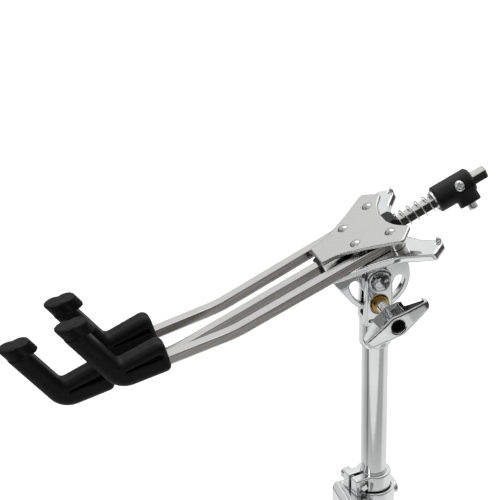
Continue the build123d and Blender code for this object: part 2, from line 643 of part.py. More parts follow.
def stay():
    pair = strip_pair(stay_foot, leg_joint, STAY_GAP, (0, STAY_LENGTH))
    outer = STAY_GAP + STRIP_T
    spacer = pin(4.5, (leg_joint[0], -STAY_GAP, leg_joint[1]), (leg_joint[0], STAY_GAP, leg_joint[1]))
    spacer += pin(LEG_RIVET_R, (leg_joint[0], -outer, leg_joint[1]), (leg_joint[0], outer, leg_joint[1]))
    return pair + spacer + pin(LEG_RIVET_R, (stay_foot[0], -outer, stay_foot[1]), (stay_foot[0], outer, stay_foot[1]))


def foot():
    """Rubber foot: a round sole and a tongue that fills the end of the leg between its strips."""
    x, z = leg_foot
    sole = fillet(pin(17, (x, 0, 0), (x, 0, z - STRIP_W / 2 - 0.5)).edges(), 2.0)
    tongue = block((x - 13, x + 10), (-LEG_GAP, LEG_GAP), (2, z)) + pin(9, (x, -LEG_GAP, z), (x, LEG_GAP, z))
    return sole + tongue - pin(LEG_RIVET_R, (x, -20, z), (x, 20, z))


def collar_wing_screw():
    z = LEG_PIVOT_Z
    screw = pin(3.0, (BASE_R + GAP, 0, z), (COLLAR_R + 6, 0, z)) + pin(6, (COLLAR_R + 1, 0, z), (COLLAR_R + 12, 0, z))
    grip = extrude(Plane.YZ * SlotOverall(WING_SPAN, 9), 6)
    return screw + Pos(COLLAR_R + 8, 0, z) * fillet(grip.edges(), 1.5)


def leg_collar():
    body = collar(LEG_GAP - GAP, LEG_PIVOT_Z)
    body -= pin(BASE_R + SLIP, (0, 0, 0), (0, 0, 500))
    return body - pin(3.0 + SLIP, (0, 0, LEG_PIVOT_Z), (40, 0, LEG_PIVOT_Z))


def stay_collar():
    return collar(STAY_GAP - GAP, STAY_PIVOT_Z) - pin(BASE_R, (0, 0, -50), (0, 0, 500))


def tube_plug():
    inner = BASE_R - BASE_WALL
    cap = pin(BASE_R, (0, 0, TUBE_BOTTOM_Z - 3), (0, 0, TUBE_BOTTOM_Z))
    return cap + pin(inner, (0, 0, TUBE_BOTTOM_Z), (0, 0, TUBE_BOTTOM_Z + 12))


# ---------------------------------------------------------------- assembly
def add(name, shape, frame=Location()):
    pieces[name] = frame * shape


add("hub_top_plate", hub_top_plate(), hub_frame)
add("hub_lower_plate", hub_lower_plate(), hub_frame)
add("guide_block", guide_block(), hub_frame)
add("arm_washers", arm_washers(), hub_frame)
add("pivot_rivets", hub_rivets(0, PIVOT_Y), hub_frame)
add("guide_rivets", hub_rivets(*TAIL_RIVET), hub_frame)
add("quadrant", quadrant(), hub_frame)

arm = side_arm()
side_claw = fitted_claw(arm, ARM_KINK_X, CLAW_X)
for side, y, toe in (("front", -PIVOT_Y, -TOE_IN), ("rear", PIVOT_Y, TOE_IN)):
    place = hub_frame * Location((0, y, BAR_TOP - BAR / 2), (0, 0, toe))
    add("side_arm_" + side, arm, place)
    add("claw_" + side, side_claw, place)

middle = centre_arm()
place = hub_frame * Location((0, 0, ROD_Z))
add("centre_arm", middle, place)
add("claw_centre", fitted_claw(middle, ARM_KINK_X + CENTRE_REACH, CLAW_X + CENTRE_REACH), place)
add("adjust_spring", adjust_spring(), hub_frame)
add("thrust_washer", thrust_washer(), hub_frame)
add("adjust_knob", adjust_knob(), hub_frame * knob_frame)
add("knob_screw", knob_screw(), hub_frame * knob_frame)
add("release_button", release_button(), hub_frame * knob_frame)

for make in (yoke, pivot_bolt, pivot_nut, brass_bushing, clamp_bolt, wing_nut):
    add(make.__name__, make(), tilt_axis)

mast_top = TILT_AXIS_Z - MAST_TOP_Z
add("upper_tube", tube(MAST_R, MAST_WALL, mast_top - MAST_LENGTH, mast_top))
add("memory_lock", memory_lock(), lock_frame())
add("memory_lock_bolt", memory_lock_bolt(), lock_frame())
add("base_tube", tube(BASE_R, BASE_WALL, TUBE_BOTTOM_Z, BASE_TOP))
for make in (base_clamp, clamp_wing_bolt, clamp_bushing, leg_collar, collar_wing_screw, stay_collar, tube_plug):
    add(make.__name__, make())
for number, azimuth in enumerate(LEG_AZIMUTHS, 1):
    for name, make in (("leg", leg), ("leg_rivets", leg_rivets), ("stay", stay), ("foot", foot)):
        add(f"{name}_{number}", make(), Location((0, 0, 0), (0, 0, azimuth)))

os.makedirs("parts", exist_ok=True)
for name, shape in pieces.items():
    export_step(shape, f"parts/{name}.step")
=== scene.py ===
import json
import math

import bmesh
import bpy
import numpy as np
from mathutils import Matrix, Vector

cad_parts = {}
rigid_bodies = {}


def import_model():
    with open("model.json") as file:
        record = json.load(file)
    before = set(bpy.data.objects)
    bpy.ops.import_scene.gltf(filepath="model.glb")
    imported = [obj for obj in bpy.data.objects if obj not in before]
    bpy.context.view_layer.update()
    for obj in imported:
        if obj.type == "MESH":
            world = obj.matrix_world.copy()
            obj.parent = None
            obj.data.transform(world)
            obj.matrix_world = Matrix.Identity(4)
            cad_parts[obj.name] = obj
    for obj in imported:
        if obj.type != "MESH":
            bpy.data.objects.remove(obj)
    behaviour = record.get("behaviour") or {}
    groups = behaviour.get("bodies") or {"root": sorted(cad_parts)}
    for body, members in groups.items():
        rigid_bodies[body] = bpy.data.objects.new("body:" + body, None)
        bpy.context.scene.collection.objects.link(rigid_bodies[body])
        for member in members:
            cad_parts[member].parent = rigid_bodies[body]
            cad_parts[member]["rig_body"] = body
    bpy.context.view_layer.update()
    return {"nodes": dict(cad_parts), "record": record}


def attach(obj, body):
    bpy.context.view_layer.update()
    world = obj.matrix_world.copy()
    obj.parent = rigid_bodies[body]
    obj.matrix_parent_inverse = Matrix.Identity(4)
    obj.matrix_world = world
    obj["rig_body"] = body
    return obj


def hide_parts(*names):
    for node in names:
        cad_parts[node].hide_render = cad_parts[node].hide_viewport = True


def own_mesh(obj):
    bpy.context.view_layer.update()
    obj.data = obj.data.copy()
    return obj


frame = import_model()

# the stand's own places and directions, read from the frame
joints = {joint["name"]: joint for joint in frame["record"]["behaviour"]["joints"]}
tiltAxis = Vector(joints["basket_tilt"]["pos_m"])
knobPlace = Vector(joints["knob_turn"]["pos_m"])
boltPlace = Vector(joints["wing_nut_turn"]["pos_m"])
frontPivot = Vector(joints["front_arm_fold"]["pos_m"])
rearPivot = Vector(joints["rear_arm_fold"]["pos_m"])
along = Vector(joints["size_adjust"]["axis"]).normalized()        # along the arms, towards the knob
above = Vector(joints["front_arm_fold"]["axis"]).normalized()     # out of the hub plate's top face
aside = Vector((0, -1, 0))                                        # to the front side arm and the wing nut
print("frame loaded:", len(frame["nodes"]), "nodes")

cameraSet = dict(
    place=(-0.3206, -0.8363, 0.44597),     # from the tilt axis
    azimuth=16.27, elevation=25.54, roll=-1.32,
    lens=122.3, sensor=36.0, nearest=0.05, farthest=50.0,
)


def makeCamera(s):
    # looks along azimuth (from +Y towards +X) and down by elevation, then rolls about that line
    azimuth, elevation, roll = (math.radians(s[key]) for key in ("azimuth", "elevation", "roll"))
    toSide, ahead = math.sin(azimuth) * math.cos(elevation), math.cos(azimuth) * math.cos(elevation)
    look = Vector((toSide, ahead, -math.sin(elevation)))
    flatRight = Vector((math.cos(azimuth), -math.sin(azimuth), 0))
    flatUp = flatRight.cross(look)
    right = flatRight * math.cos(roll) + flatUp * math.sin(roll)
    up = flatUp * math.cos(roll) - flatRight * math.sin(roll)
    data = bpy.data.cameras.new("camera")
    data.lens, data.sensor_width = s["lens"], s["sensor"]
    data.clip_start, data.clip_end = s["nearest"], s["farthest"]
    camera = bpy.data.objects.new("camera", data)
    turn = Matrix((right, up, -look)).transposed().to_4x4()
    camera.matrix_world = Matrix.Translation(tiltAxis + Vector(s["place"])) @ turn
    bpy.context.scene.collection.objects.link(camera)
    bpy.context.scene.camera = camera


makeCamera(cameraSet)


def newMaterial(name):
    material = bpy.data.materials.new(name)
    material.use_nodes = True
    material.node_tree.nodes.clear()
    return material, material.node_tree


def node(tree, kind, inputs=None, **settings):
    # inputs: a socket of another node is linked, any other value is set
    made = tree.nodes.new(kind)
    for key, value in settings.items():
        setattr(made, key, value)
    for key, value in (inputs or {}).items():
        if isinstance(value, bpy.types.NodeSocket):
            tree.links.new(value, made.inputs[key])
        else:
            made.inputs[key].default_value = value
    return made


def maths(tree, kind, a, b=0.0):
    return node(tree, "ShaderNodeMath", {0: a, 1: b}, operation=kind).outputs[0]


def ease(tree, value, band, start=0.0, end=1.0):
    # smooth step from start, at the band's first number, to end, at its second
    inputs = {0: value, 1: band[0], 2: band[1], 3: start, 4: end}
    return node(tree, "ShaderNodeMapRange", inputs, interpolation_type="SMOOTHSTEP").outputs[0]


def blend(tree, share, a, b):
    # numbers: a where share is 0, b where it is 1
    return node(tree, "ShaderNodeMix", {0: share, 2: a, 3: b}, data_type="FLOAT").outputs[0]


def blendColor(tree, share, a, b):
    return node(tree, "ShaderNodeMix", {0: share, 6: a, 7: b}, data_type="RGBA").outputs[2]


def mixShader(tree, share, a, b):
    return node(tree, "ShaderNodeMixShader", {0: share, 1: a.outputs[0], 2: b.outputs[0]})


def addShader(tree, a, b):
    return node(tree, "ShaderNodeAddShader", {0: a.outputs[0], 1: b.outputs[0]})


def noise(tree, place, scale, detail, roughness=0.5):
    inputs = {"Vector": place, "Scale": scale, "Detail": detail, "Roughness": roughness}
    return node(tree, "ShaderNodeTexNoise", inputs).outputs[0]


def parts(tree, vector):
    return node(tree, "ShaderNodeSeparateXYZ", {0: vector}).outputs


def ownPlace(tree):
    return node(tree, "ShaderNodeTexCoord").outputs["Object"]


def opaque(color, share=1.0):
    # a colour for a socket, its brightness times share
    return (*(channel * share for channel in color), 1)


# light, floor and backdrop
white = (1, 1, 1, 1)
sky = dict(
    horizon=0.06, front=0.3, back=0.93, top=0.86, left=0.55, belowColor=(0.05, 0.045, 0.042),
    frontToBack=(-0.45, 0.45), sideToTop=(0.55, 0.9), leftToMiddle=(-0.85, -0.35),
    horizonToSide=(0.02, 0.34), belowToHorizon=(-0.12, -0.02),
)


def makeWorld(s):
    # white to the camera; otherwise a bright back and top, a dark horizon, and a dark room below it
    world = bpy.data.worlds.new("studio")
    world.use_nodes = True
    tree = world.node_tree
    tree.nodes.clear()
    x, y, z = parts(tree, node(tree, "ShaderNodeTexCoord").outputs["Generated"])
    tone = blend(tree, ease(tree, y, s["frontToBack"]), s["front"], s["back"])
    tone = blend(tree, ease(tree, z, s["sideToTop"]), tone, s["top"])
    tone = maths(tree, "MULTIPLY", tone, ease(tree, x, s["leftToMiddle"], s["left"], 1.0))
    tone = blend(tree, ease(tree, z, s["horizonToSide"]), s["horizon"], tone)
    color = blendColor(tree, ease(tree, z, s["belowToHorizon"]), opaque(s["belowColor"]), tone)
    light = node(tree, "ShaderNodeBackground", {0: color, 1: 1.0})
    seen = node(tree, "ShaderNodeBackground", {0: white, 1: 1.0})
    path = node(tree, "ShaderNodeLightPath").outputs
    node(tree, "ShaderNodeOutputWorld", {0: mixShader(tree, path["Is Camera Ray"], light, seen).outputs[0]})
    bpy.context.scene.world = world


table = dict(
    left=-3.0, right=3.0, front=-1.02, back=5.0,
    color=0.9, glow=0.5,                    # as the camera sees it
    reflectedColor=0.3, reflectedGlow=0.76,    # as metal sees it, both times the tone
    leftTone=0.46, rightTone=0.84, leftToRight=(-0.85, 0.7),
    lipWidth=1.38, lipDepth=0.555, lipTurn=26.0, lipBand=(0.97, 1.03), lipFront=(-0.05, -0.2),
    stripMiddle=-0.1, stripBand=(0.14, 0.04), stripLeft=(-0.42, -0.6),
    ringRadius=0.38, ringBand=(0.05, 0.025),
    backBand=(0.15, 0.6), frontBand=(-0.2, -0.42), underBand=(0.6, 0.34),
    edgeBand=(-0.72, -0.97), rimBand=(-0.95, -1.01),
    tones=dict(back=0.8, front=0.45, under=0.95, lip=0.9, strip=0.2, ring=0.12, edge=0.42, rim=0.06),
)


def tableTone(tree, s):
    # tone in reflections: darker on the left, then one zone laid over the next, each with its own tone
    spot = ownPlace(tree)
    x, y = parts(tree, spot)[:2]
    reach = node(tree, "ShaderNodeVectorMath", {0: spot}, operation="LENGTH").outputs["Value"]
    # the lip is what lies outside an ellipse round the stand's foot, turned a little, on its front side
    turn = (0, 0, math.radians(s["lipTurn"]))
    turned = node(tree, "ShaderNodeMapping", {"Vector": spot, "Rotation": turn}).outputs[0]
    wide, deep = parts(tree, turned)[:2]
    lipFront = ease(tree, deep, s["lipFront"])
    wide = maths(tree, "DIVIDE", wide, s["lipWidth"])
    deep = maths(tree, "DIVIDE", deep, s["lipDepth"])
    squares = maths(tree, "ADD", maths(tree, "MULTIPLY", wide, wide), maths(tree, "MULTIPLY", deep, deep))
    oval = maths(tree, "SQRT", squares)
    # the strip crosses the left side, and the ring goes round the foot
    fromStrip = maths(tree, "ABSOLUTE", maths(tree, "SUBTRACT", y, s["stripMiddle"]))
    onLeft = ease(tree, x, s["stripLeft"])
    fromRing = maths(tree, "ABSOLUTE", maths(tree, "SUBTRACT", reach, s["ringRadius"]))
    zones = {
        "back": ease(tree, y, s["backBand"]),
        "front": ease(tree, y, s["frontBand"]),
        "under": ease(tree, reach, s["underBand"]),
        "lip": maths(tree, "MULTIPLY", ease(tree, oval, s["lipBand"]), lipFront),
        "strip": maths(tree, "MULTIPLY", ease(tree, fromStrip, s["stripBand"]), onLeft),
        "ring": ease(tree, fromRing, s["ringBand"]),
        "edge": ease(tree, y, s["edgeBand"]),
        "rim": ease(tree, y, s["rimBand"]),
    }
    tone = ease(tree, x, s["leftToRight"], s["leftTone"], s["rightTone"])
    for name, share in zones.items():
        tone = blend(tree, share, tone, s["tones"][name])
    return tone


def makeFloor(s):
    # one flat sheet: white and shadowed to the camera, toned in reflections
    mesh = bpy.data.meshes.new("floor")
    near = [(s["left"], s["front"], 0), (s["right"], s["front"], 0)]
    far = [(s["right"], s["back"], 0), (s["left"], s["back"], 0)]
    mesh.from_pydata(near + far, [], [(0, 1, 2, 3)])
    floor = bpy.data.objects.new("floor", mesh)
    bpy.context.scene.collection.objects.link(floor)
    material, tree = newMaterial("paleFloor")
    path = node(tree, "ShaderNodeLightPath").outputs
    matte = node(tree, "ShaderNodeBsdfDiffuse", {0: opaque((s["color"],) * 3)})
    dark = node(tree, "ShaderNodeEmission", {1: 0.0})
    glow = node(tree, "ShaderNodeEmission", {0: white, 1: s["glow"]})
    plain = addShader(tree, matte, mixShader(tree, path["Is Camera Ray"], dark, glow))
    tone = tableTone(tree, s)
    shaded = node(tree, "ShaderNodeBsdfDiffuse", {0: maths(tree, "MULTIPLY", tone, s["reflectedColor"])})
    lit = node(tree, "ShaderNodeEmission", {0: white, 1: maths(tree, "MULTIPLY", tone, s["reflectedGlow"])})
    shiny = maths(tree, "MAXIMUM", path["Is Glossy Ray"], path["Is Transmission Ray"])
    both = mixShader(tree, shiny, plain, addShader(tree, shaded, lit))
    node(tree, "ShaderNodeOutputMaterial", {0: both.outputs[0]})
    mesh.materials.append(material)


lamps = {
    "overhead": dict(place=(0.2, 0.7, 2.0), size=(1.2, 1.2), radiance=1.3),
    "leftStrip": dict(place=(-1.3, -0.8, 1.15), size=(0.3, 0.9), radiance=2.4),
}


def makeLamp(name, s):
    # an even rectangle turned to the tilt axis; its power is radiance times pi times its area
    data = bpy.data.lights.new(name, "AREA")
    width, height = s["size"]
    data.shape, data.size, data.size_y = "RECTANGLE", width, height
    data.energy = s["radiance"] * math.pi * width * height
    lamp = bpy.data.objects.new(name, data)
    lamp.location = s["place"]
    lamp.rotation_euler = (tiltAxis - Vector(s["place"])).to_track_quat("-Z", "Y").to_euler()
    bpy.context.scene.collection.objects.link(lamp)


makeWorld(sky)
makeFloor(table)
for lampName, lampSet in lamps.items():
    makeLamp(lampName, lampSet)
bpy.context.scene.view_settings.view_transform = "Standard"
print("camera, light and floor ready")


def newGroup(name, inputs, outputs):
    # inputs: each name with its value where a material gives none; outputs: names of numbers
    group = bpy.data.node_groups.new(name, "ShaderNodeTree")
    for label, usual in inputs.items():
        kind = "NodeSocketVector" if isinstance(usual, tuple) else "NodeSocketFloat"
        group.interface.new_socket(label, in_out="INPUT", socket_type=kind).default_value = usual
    for label in outputs:
        group.interface.new_socket(label, in_out="OUTPUT", socket_type="NodeSocketFloat")
    return group, node(group, "NodeGroupInput").outputs


handling = dict(
    smudgeScale=60.0, smudgeDetail=4.0, smudgeRoughness=0.6, smudgeBand=(0.32, 0.7),
    speckScale=500.0, speckBand=(0.32, 0.12), patchScale=170.0, patchDetail=2.0, patchBand=(0.52, 0.66),
    lineScale=900.0, lineDetail=3.0, lineBand=(0.35, 0.65), lineStretch=(0.03, 1.0, 1.0),
)


def makeHandlingGroup(s):
    # smudges: slow noise; specks: the middles of small cells, in patches; lines: noise drawn out along X
    group, given = newGroup(
        "handlingMarks",
        {"Vector": (0, 0, 0), "Smudge Scale": s["smudgeScale"], "Speck Scale": s["speckScale"],
         "Line Scale": s["lineScale"]},
        ("Smudge", "Speck", "Line"),
    )
    place = given["Vector"]
    smudge = noise(group, place, given["Smudge Scale"], s["smudgeDetail"], s["smudgeRoughness"])
    cells = node(group, "ShaderNodeTexVoronoi", {"Vector": place, "Scale": given["Speck Scale"]})
    patches = ease(group, noise(group, place, s["patchScale"], s["patchDetail"]), s["patchBand"])
    speck = maths(group, "MULTIPLY", ease(group, cells.outputs["Distance"], s["speckBand"]), patches)
    drawn = node(group, "ShaderNodeMapping", {"Vector": place, "Scale": s["lineStretch"]}).outputs[0]
    line = noise(group, drawn, given["Line Scale"], s["lineDetail"])
    outputs = {0: ease(group, smudge, s["smudgeBand"]), 1: speck, 2: ease(group, line, s["lineBand"])}
    node(group, "NodeGroupOutput", outputs)
    return group


grain = dict(
    fineScale=2600.0, fineDetail=3.0, fineShare=0.6,
    coarseScale=500.0, coarseDetail=4.0, coarseRoughness=0.6, coarseShare=0.4, toneBand=(0.3, 0.7),
)


def makeGrainGroup(s):
    # moulded grain: fine noise over a coarser one for height, the coarser one alone for tone
    group, given = newGroup(
        "mouldedGrain", {"Fine Scale": s["fineScale"], "Coarse Scale": s["coarseScale"]}, ("Height", "Tone"))
    place = ownPlace(group)
    fine = noise(group, place, given["Fine Scale"], s["fineDetail"])
    coarse = noise(group, place, given["Coarse Scale"], s["coarseDetail"], s["coarseRoughness"])
    fineHeight = maths(group, "MULTIPLY", fine, s["fineShare"])
    coarseHeight = maths(group, "MULTIPLY", coarse, s["coarseShare"])
    height = maths(group, "ADD", fineHeight, coarseHeight)
    node(group, "NodeGroupOutput", {0: height, 1: ease(group, coarse, s["toneBand"])})
    return group


handlingMarks, mouldedGrain = makeHandlingGroup(handling), makeGrainGroup(grain)


def turnedToArms(tree):
    # object coordinates turned so that X runs along the arms
    turn = (0, math.atan2(along.z, along.x), 0)
    return node(tree, "ShaderNodeMapping", {"Vector": ownPlace(tree), "Rotation": turn}).outputs[0]


# a metal's usual values; a finish below gives only what differs
metalSet = dict(
    smudgeScale=60.0, smudgeTone=0.95, smudgeRoughness=1.7, ripple=0.6, pits=0.0,
    lineScale=900.0, lineRoughness=0.02, lineDepth=0.1, bump=0.04, bumpDistance=0.0004,
    sideShadeBand=(0.86, 0.97), sideSmudgeTone=1.25, sideSpecks=0.55, rodBlend=0.001,
)


def barSideShade(tree, place, smudge, speck, s):
    # a bar's side faces: darker as painted shade for the dark surroundings they reflect, smudged with bright
    # specks, and darker still from where it becomes the rod
    color = blendColor(tree, smudge, opaque(s["sideShadeColor"]), opaque(s["sideShadeColor"], s["sideSmudgeTone"]))
    color = blendColor(tree, maths(tree, "MULTIPLY", speck, s["sideSpecks"]), color, opaque(s["color"]))
    # painted shade: past rodStart the side faces go near black, standing in for the shading of the rod's
    # threads
    rodBand = (s["rodStart"] - s["rodBlend"], s["rodStart"] + s["rodBlend"])
    return blendColor(tree, ease(tree, parts(tree, place)[0], rodBand), color, opaque(s["rodShadeColor"]))


def makeMetal(name, own):
    # plate with faint smudges, drawn lines and pits; a bar's sides and a casting's hollows get painted shade
    s = {**metalSet, **own}
    material, tree = newMaterial(name)
    place = turnedToArms(tree)
    given = {"Vector": place, "Smudge Scale": s["smudgeScale"], "Line Scale": s["lineScale"]}
    smudge, speck, line = node(tree, "ShaderNodeGroup", given, node_tree=handlingMarks).outputs
    color = blendColor(tree, smudge, opaque(s["color"]), opaque(s["color"], s["smudgeTone"]))
    # painted shade: side faces, found by the Y of their normal, take a darker colour that stands in for the
    # dark surroundings they reflect
    if "sideShadeColor" in s:
        normal = node(tree, "ShaderNodeTexCoord").outputs["Normal"]
        sideways = ease(tree, maths(tree, "ABSOLUTE", parts(tree, normal)[1]), s["sideShadeBand"])
        color = blendColor(tree, sideways, color, barSideShade(tree, place, smudge, speck, s))
    # painted shade: the wing nut's scoops, marked by the hollow value, take a near black colour
    if "hollowShadeColor" in s:
        hollow = node(tree, "ShaderNodeAttribute", attribute_name="hollow").outputs["Fac"]
        color = blendColor(tree, ease(tree, hollow, (0.0, 1.0)), color, opaque(s["hollowShadeColor"]))
    rough = blend(tree, smudge, s["roughness"], s["roughness"] * s["smudgeRoughness"])
    rough = maths(tree, "ADD", rough, maths(tree, "MULTIPLY", line, s["lineRoughness"]))
    lines = maths(tree, "MULTIPLY", line, s["lineDepth"])
    ripples = maths(tree, "MULTIPLY", smudge, s["ripple"])
    pits = maths(tree, "MULTIPLY", speck, s["pits"])
    height = maths(tree, "SUBTRACT", maths(tree, "ADD", lines, ripples), pits)
    bumps = {"Height": height, "Strength": s["bump"], "Distance": s["bumpDistance"]}
    normal = node(tree, "ShaderNodeBump", bumps).outputs[0]
    inputs = {"Base Color": color, "Metallic": 1.0, "Roughness": rough, "Normal": normal}
    shader = node(tree, "ShaderNodeBsdfPrincipled", inputs)
    node(tree, "ShaderNodeOutputMaterial", {0: shader.outputs[0]})
    return material


rubberSet = dict(wornRoughness=0.85, bumpDistance=0.0003)


def makeRubber(name, own):
    # matt black with a fine moulded grain and paler, smoother worn patches
    s = {**rubberSet, **own}
    material, tree = newMaterial(name)
    given = {"Fine Scale": s["fineScale"], "Coarse Scale": s["coarseScale"]}
    height, tone = node(tree, "ShaderNodeGroup", given, node_tree=mouldedGrain).outputs
    bumps = {"Height": height, "Strength": s["bump"], "Distance": s["bumpDistance"]}
    shader = node(tree, "ShaderNodeBsdfPrincipled", {
        "Base Color": blendColor(tree, tone, opaque(s["color"]), opaque(s["wornColor"])),
        "Roughness": blend(tree, tone, s["roughness"], s["roughness"] * s["wornRoughness"]),
        "Specular IOR Level": s["specular"],
        "Normal": node(tree, "ShaderNodeBump", bumps).outputs[0],
    })
    node(tree, "ShaderNodeOutputMaterial", {0: shader.outputs[0]})
    return material


plating = dict(color=(0.79, 0.795, 0.8), roughness=0.045, ripple=0.5, bump=0.03)
finishes = {
    "chrome": makeMetal("polishedChrome", plating),
    # the wing nut's cast chrome, with painted shade in its scoops
    "castChrome": makeMetal("castChrome", dict(plating, hollowShadeColor=(0.07, 0.07, 0.072))),
    "rivetSteel": makeMetal("rivetSteel", dict(
        color=(0.56, 0.56, 0.555), roughness=0.09, ripple=0.8, bump=0.1, smudgeScale=400.0, smudgeTone=0.8,
    )),
    # the arms' chrome, with painted shade on the side faces and on the rod's sides
    "arm_chrome": makeMetal("platedBar", dict(
        color=(0.63, 0.63, 0.62), sideShadeColor=(0.30, 0.285, 0.27), rodShadeColor=(0.08, 0.078, 0.076),
        rodStart=0.2117, roughness=0.13, lineDepth=0.5, bump=0.08, pits=0.8,
    )),
    "brushed_plate": makeMetal("satinPlate", dict(
        color=(0.61, 0.61, 0.605), roughness=0.2, smudgeTone=0.96, ripple=0.0, lineDepth=0.03, bump=0.02,
        lineRoughness=0.01,
    )),
    "brass": makeMetal("turnedBrass", dict(
        color=(0.56, 0.4, 0.16), roughness=0.14, lineScale=1500.0, lineDepth=0.6, bump=0.1,
    )),
    "claw_rubber": makeRubber("clawRubber", dict(
        color=(0.0035, 0.0035, 0.004), wornColor=(0.007, 0.007, 0.0075), roughness=0.52, specular=0.17,
        fineScale=2600.0, coarseScale=420.0, bump=0.3,
    )),
    "foot_rubber": makeRubber("footRubber", dict(
        color=(0.014, 0.014, 0.014), wornColor=(0.03, 0.03, 0.029), roughness=0.7, specular=0.25,
        fineScale=1900.0, coarseScale=260.0, bump=0.45,
    )),
    "black_nylon": makeRubber("blackNylon", dict(
        color=(0.005, 0.005, 0.0055), wornColor=(0.009, 0.009, 0.0095), roughness=0.42, specular=0.28,
        fineScale=3200.0, coarseScale=700.0, bump=0.22,
    )),
}
slots = {part["node"]: part["material_slot"] for part in frame["record"]["subparts"]}
ownFinish = {nodeName: "rivetSteel" for nodeName in slots if "rivets" in nodeName}
ownFinish["wing_nut"] = "castChrome"
print("finishes ready:", len(finishes))


def addPiece(name, mesh, nodeName, slot=None):
    # a new object that rides with a CAD node, in that node's finish or in another slot's
    piece = bpy.data.objects.new(name, mesh)
    bpy.context.scene.collection.objects.link(piece)
    mesh.materials.clear()
    mesh.materials.append(finishes[slot or ownFinish.get(nodeName, slots[nodeName])])
    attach(piece, frame["nodes"][nodeName]["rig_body"])
    return piece


def standIn(name, mesh, nodeName):
    # a piece that is shown in the CAD node's place
    piece = addPiece(name, mesh, nodeName)
    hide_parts(nodeName)
    return piece


def readAll(items, key, kind=float, width=1):
    # one array with a number for each item, or a row of width numbers
    values = np.empty(len(items) * width, kind)
    items.foreach_get(key, values)
    return values.reshape(-1, width) if width > 1 else values


def pointsOf(mesh):
    return readAll(mesh.vertices, "co", width=3)


copySet = dict(mergeWithin=0.000002)


def mergedCopy(name, s):
    # the node's loose triangles joined into one skin
    form = bmesh.new()
    form.from_mesh(frame["nodes"][name].data)
    bmesh.ops.remove_doubles(form, verts=form.verts, dist=s["mergeWithin"])
    mesh = bpy.data.meshes.new(name + "Form")
    form.to_mesh(mesh)
    form.free()
    return mesh


def bakeModifiers(mesh, modifiers):
    # puts modifiers on a passing object and returns the mesh that they give
    helper = bpy.data.objects.new("helper", mesh)
    bpy.context.scene.collection.objects.link(helper)
    for kind, values in modifiers:
        made = helper.modifiers.new(kind, kind)
        for key, value in values.items():
            setattr(made, key, value)
    bpy.context.view_layer.update()
    done = bpy.data.meshes.new_from_object(helper.evaluated_get(bpy.context.evaluated_depsgraph_get()))
    bpy.data.objects.remove(helper)
    return done


polishSet = dict(sharpAngle=28.0, leastLength=1e-18)


def shadeByAngle(mesh, s):
    # each corner's normal: the sum of area times corner angle times normal over the faces at its vertex
    # that lean less than sharpAngle from its own face
    mesh.shade_smooth()
    vertex = readAll(mesh.loops, "vertex_index", np.int32)
    start = readAll(mesh.polygons, "loop_start", np.int32)
    count = readAll(mesh.polygons, "loop_total", np.int32)
    area = readAll(mesh.polygons, "area")
    spots = pointsOf(mesh)
    face = np.repeat(np.arange(len(start)), count)
    corner = np.arange(len(vertex)) - start[face]
    ahead = spots[vertex[start[face] + (corner + 1) % count[face]]] - spots[vertex]
    behind = spots[vertex[start[face] + (corner - 1) % count[face]]] - spots[vertex]
    lengths = np.linalg.norm(ahead, axis=1) * np.linalg.norm(behind, axis=1)
    cosine = (ahead * behind).sum(1) / np.maximum(lengths, s["leastLength"])
    weight = area[face] * np.arccos(np.clip(cosine, -1, 1))
    # corners in the order of their vertices: those of one vertex stand together, from first on
    order = np.argsort(vertex, kind="stable")
    shared = np.bincount(vertex, minlength=len(spots))
    first = np.concatenate([[0], np.cumsum(shared)[:-1]])
    own = readAll(mesh.polygons, "normal", width=3)[face]
    total = np.zeros_like(own)
    for step in range(shared.max()):
        other = order[np.minimum(first[vertex] + step, len(order) - 1)]
        near = (own * own[other]).sum(1) > math.cos(math.radians(s["sharpAngle"]))
        total += (near * (shared[vertex] > step) * weight[other])[:, None] * own[other]
    length = np.linalg.norm(total, axis=1)[:, None]
    total = np.where(length > s["leastLength"], total / np.maximum(length, s["leastLength"]), own)
    mesh.normals_split_custom_set(total.tolist())


armSet = dict(kinkFromPivot=0.105, centreReach=0.0338, bend=9.7, bendRadius=0.075)

# for each arm, a point on its centre line and how much further on its kink lies
armStarts = {
    "side_arm_front": (frontPivot, 0.0),
    "side_arm_rear": (rearPivot, 0.0),
    "centre_arm": (knobPlace - along * (knobPlace - frontPivot).dot(along), armSet["centreReach"]),
}


def turnOver(mesh, start, reach, s):
    # each point goes as far below the arm's centre line as it was above it, so that the wide bevels face
    # down; that line is straight, then an arc about a centre above it, then straight again
    spots = pointsOf(mesh)
    far = (spots - np.array(start)) @ np.array(along)
    high = (spots - np.array(start)) @ np.array(above)
    bend, radius = math.radians(s["bend"]), s["bendRadius"]
    arcStart = radius * math.tan(bend / 2) - s["kinkFromPivot"] - reach
    angle = np.arctan2(arcStart - far, radius - high)
    ray = 2 * radius - np.hypot(arcStart - far, radius - high)
    pastEnd = far - arcStart + radius * math.sin(bend)
    riseOverEnd = high - radius * (1 - math.cos(bend))
    off = pastEnd * math.sin(bend) + riseOverEnd * math.cos(bend)
    stretches = [far >= arcStart, angle <= bend]
    newFar = np.select(stretches, [far, arcStart - ray * np.sin(angle)], far - 2 * off * math.sin(bend))
    newHigh = np.select(stretches, [-high, radius - ray * np.cos(angle)], high - 2 * off * math.cos(bend))
    spots += (newFar - far)[:, None] * np.array(along) + (newHigh - high)[:, None] * np.array(above)
    mesh.vertices.foreach_set("co", spots.ravel())
    mesh.flip_normals()


def polishNode(name, s):
    # the node's own surface with its facets shaded round and its flats kept flat
    mesh = mergedCopy(name, copySet)
    if name in armStarts:
        turnOver(mesh, *armStarts[name], armSet)
    shadeByAngle(mesh, s)
    standIn(name + "_polished", mesh, name)


